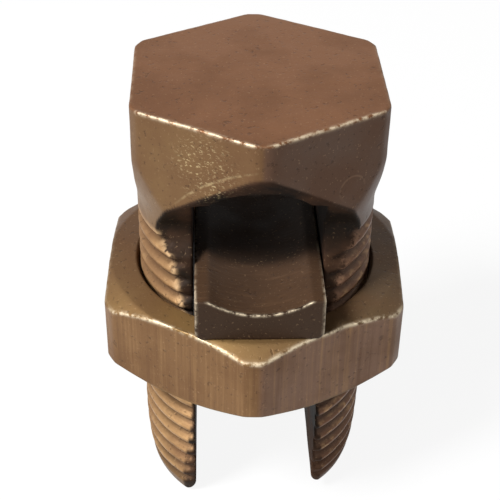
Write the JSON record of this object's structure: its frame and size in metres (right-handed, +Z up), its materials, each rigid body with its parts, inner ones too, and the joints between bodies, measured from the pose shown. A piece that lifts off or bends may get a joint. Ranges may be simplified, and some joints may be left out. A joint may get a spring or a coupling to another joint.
{
  "type": "split bolt connector",
  "caption": "Slotted hex bolt with a hex nut and a sliding pressure bar that clamp bare wires side by side in the slot under the head.",
  "frame": {"origin": "on the bolt's axis, at the lower end of the longer leg", "axes": "+Z up the bolt's axis towards its head; +Y along the conductor, from the face shown to the back; +X to the right of the face shown"},
  "size_m": [0.0284, 0.0314, 0.0446],
  "materials": {
    "bolt_bronze": "forged bronze, brown with oxide, bright on its scratches and thread ridges",
    "nut_bronze": "drawn bronze with fine upright streaks on its flats",
    "bar_bronze": "bronze with fine tool marks in its groove"
  },
  "bodies": {
    "bolt": {"bolt": "bolt_bronze"},
    "bar": {"pressure_bar": "bar_bronze"},
    "nut": {"nut": "nut_bronze"}
  },
  "joints": [
    {"name": "bar_slide", "type": "slide", "parent": "bolt", "child": "bar", "axis": [0, 0, 1], "range_m": [-0.0153, 0.0063]},
    {"name": "nut_spin", "type": "hinge", "parent": "bar", "child": "nut", "pos_m": [0, 0, 0.0212], "axis": [0, 0, 1], "range_deg": [-3300, 1400]}
  ],
  "couplings": [
    {"joint": "nut_spin", "follows": "bar_slide", "rad_per_m": 3696}
  ]
}
